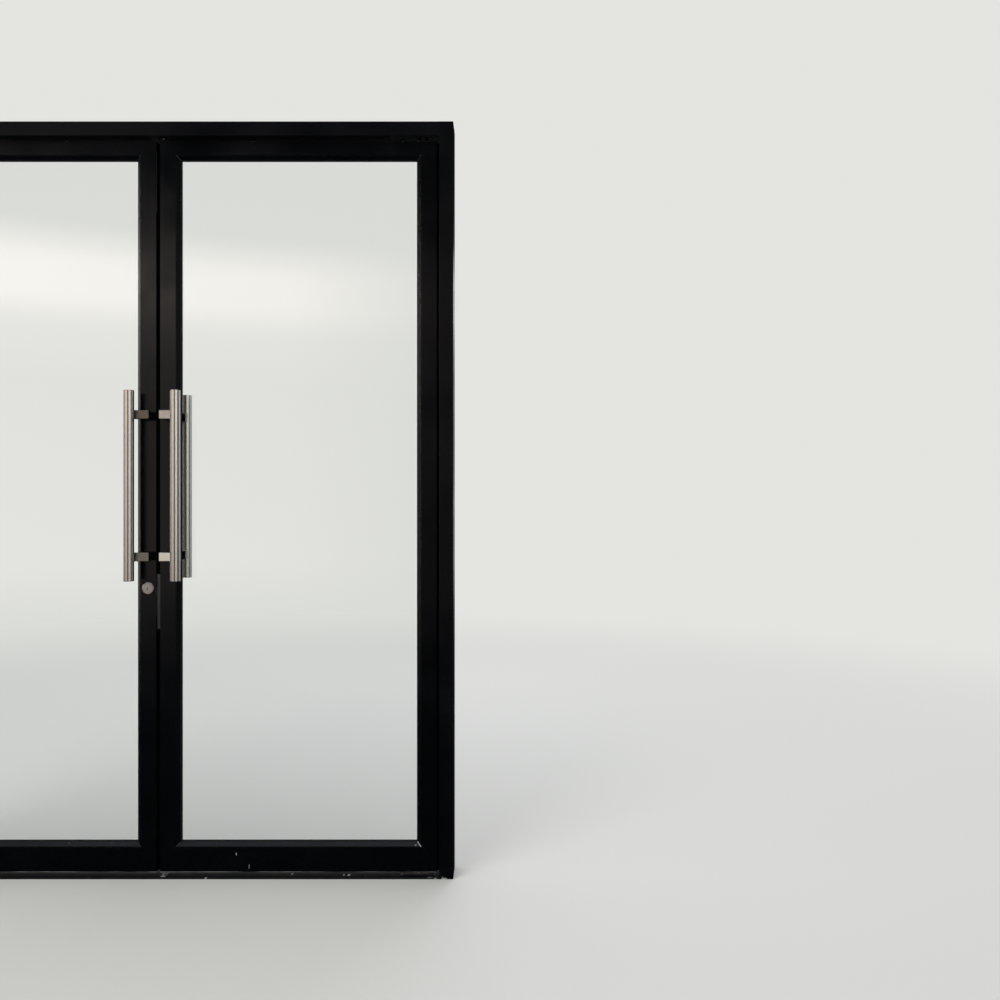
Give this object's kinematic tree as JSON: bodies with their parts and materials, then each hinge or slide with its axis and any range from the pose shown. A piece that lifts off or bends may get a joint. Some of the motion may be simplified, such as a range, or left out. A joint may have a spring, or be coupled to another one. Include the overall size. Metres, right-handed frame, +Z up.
{
  "type": "glazed double door",
  "caption": "Pair of glazed swing doors in a three-sided dark tube frame, with sloped glazing beads, offset tubular pull handles, a mortise lock and edge bolts.",
  "frame": {"origin": "on the floor, on the line where the leaves meet, in the middle of the frame's depth", "axes": "+X along the wall to the right seen from outside, +Y through the wall towards the inside, +Z up"},
  "size_m": [1.89, 0.18, 2.4],
  "materials": {
    "dark_aluminium": "near-black satin powder coat over aluminium",
    "glass": "clear toughened glass, smooth",
    "rubber": "black, matt",
    "satin_stainless": "satin brushed stainless steel",
    "stainless_plate": "brushed stainless sheet",
    "nickel_brass": "satin nickel plate over brass",
    "steel": "zinc-plated steel",
    "mill_aluminium": "as sawn and machined, uncoated",
    "closer_casting": "cast aluminium housing, painted grey",
    "nylon": "moulded, black"
  },
  "bodies": {
    "frame": {"left_jamb": "dark_aluminium", "right_jamb": "dark_aluminium", "head": "dark_aluminium", "head_cleats": "mill_aluminium", "closers": "closer_casting", "frame_screws": "steel", "pivot_plates": "stainless_plate", "head_keep": "stainless_plate", "floor_keep": "stainless_plate"},
    "left_leaf": {"left_hinge_stile": "dark_aluminium", "left_meeting_stile": "dark_aluminium", "left_top_rail": "dark_aluminium", "left_bottom_rail": "dark_aluminium", "left_rail_beads": "dark_aluminium", "left_stile_beads": "dark_aluminium", "left_gaskets": "rubber", "left_glass": "glass", "left_setting_blocks": "nylon", "left_spindle": "steel", "left_arm": "steel", "left_bearing": "steel", "left_corner_blocks": "mill_aluminium", "left_screws": "steel", "left_outside_pull": "satin_stainless", "left_inside_pull": "satin_stainless", "left_outside_brackets": "satin_stainless", "left_inside_brackets": "satin_stainless", "left_pull_studs": "steel", "lock_front": "stainless_plate", "lock_case": "steel", "lock_cylinders": "nickel_brass", "cylinder_collars": "nickel_brass"},
    "right_leaf": {"right_hinge_stile": "dark_aluminium", "right_meeting_stile": "dark_aluminium", "right_top_rail": "dark_aluminium", "right_bottom_rail": "dark_aluminium", "right_rail_beads": "dark_aluminium", "right_stile_beads": "dark_aluminium", "right_gaskets": "rubber", "right_glass": "glass", "right_setting_blocks": "nylon", "right_spindle": "steel", "right_arm": "steel", "right_bearing": "steel", "right_corner_blocks": "mill_aluminium", "right_screws": "steel", "right_outside_pull": "satin_stainless", "right_inside_pull": "satin_stainless", "right_outside_brackets": "satin_stainless", "right_inside_brackets": "satin_stainless", "right_pull_studs": "steel", "lock_strike": "stainless_plate", "edge_plates": "stainless_plate", "rod_guides": "nylon"},
    "lock_bolt": {"lock_bolt": "nickel_brass"},
    "outside_plug": {"outside_plug": "nickel_brass"},
    "inside_turn": {"inside_turn": "nickel_brass"},
    "top_edge_bolt": {"top_edge_bolt": "nickel_brass"},
    "bottom_edge_bolt": {"bottom_edge_bolt": "nickel_brass"}
  },
  "joints": [
    {"name": "left_leaf_swing", "type": "hinge", "parent": "frame", "child": "left_leaf", "pos_m": [-0.83, 0, 1.2], "axis": [0, 0, 1], "range_deg": [-90, 90], "stiffness_Nm_per_rad": 12},
    {"name": "right_leaf_swing", "type": "hinge", "parent": "frame", "child": "right_leaf", "pos_m": [0.83, 0, 1.2], "axis": [0, 0, 1], "range_deg": [-90, 90], "stiffness_Nm_per_rad": 12},
    {"name": "inside_turn_turn", "type": "hinge", "parent": "left_leaf", "child": "inside_turn", "pos_m": [-0.0305, 0.03, 0.919], "axis": [0, 1, 0], "range_deg": [0, 90]},
    {"name": "lock_bolt_throw", "type": "slide", "parent": "left_leaf", "child": "lock_bolt", "axis": [1, 0, 0], "range_m": [0, 0.02]},
    {"name": "outside_plug_turn", "type": "hinge", "parent": "left_leaf", "child": "outside_plug", "pos_m": [-0.0305, -0.03, 0.919], "axis": [0, 1, 0], "range_deg": [0, 90]},
    {"name": "top_edge_bolt_throw", "type": "slide", "parent": "right_leaf", "child": "top_edge_bolt", "axis": [0, 0, 1], "range_m": [0, 0.018]},
    {"name": "bottom_edge_bolt_throw", "type": "slide", "parent": "right_leaf", "child": "bottom_edge_bolt", "axis": [0, 0, -1], "range_m": [0, 0.012]}
  ],
  "couplings": [
    {"joint": "inside_turn_turn", "follows": "lock_bolt_throw", "rad_per_m": 78.53}
  ]
}
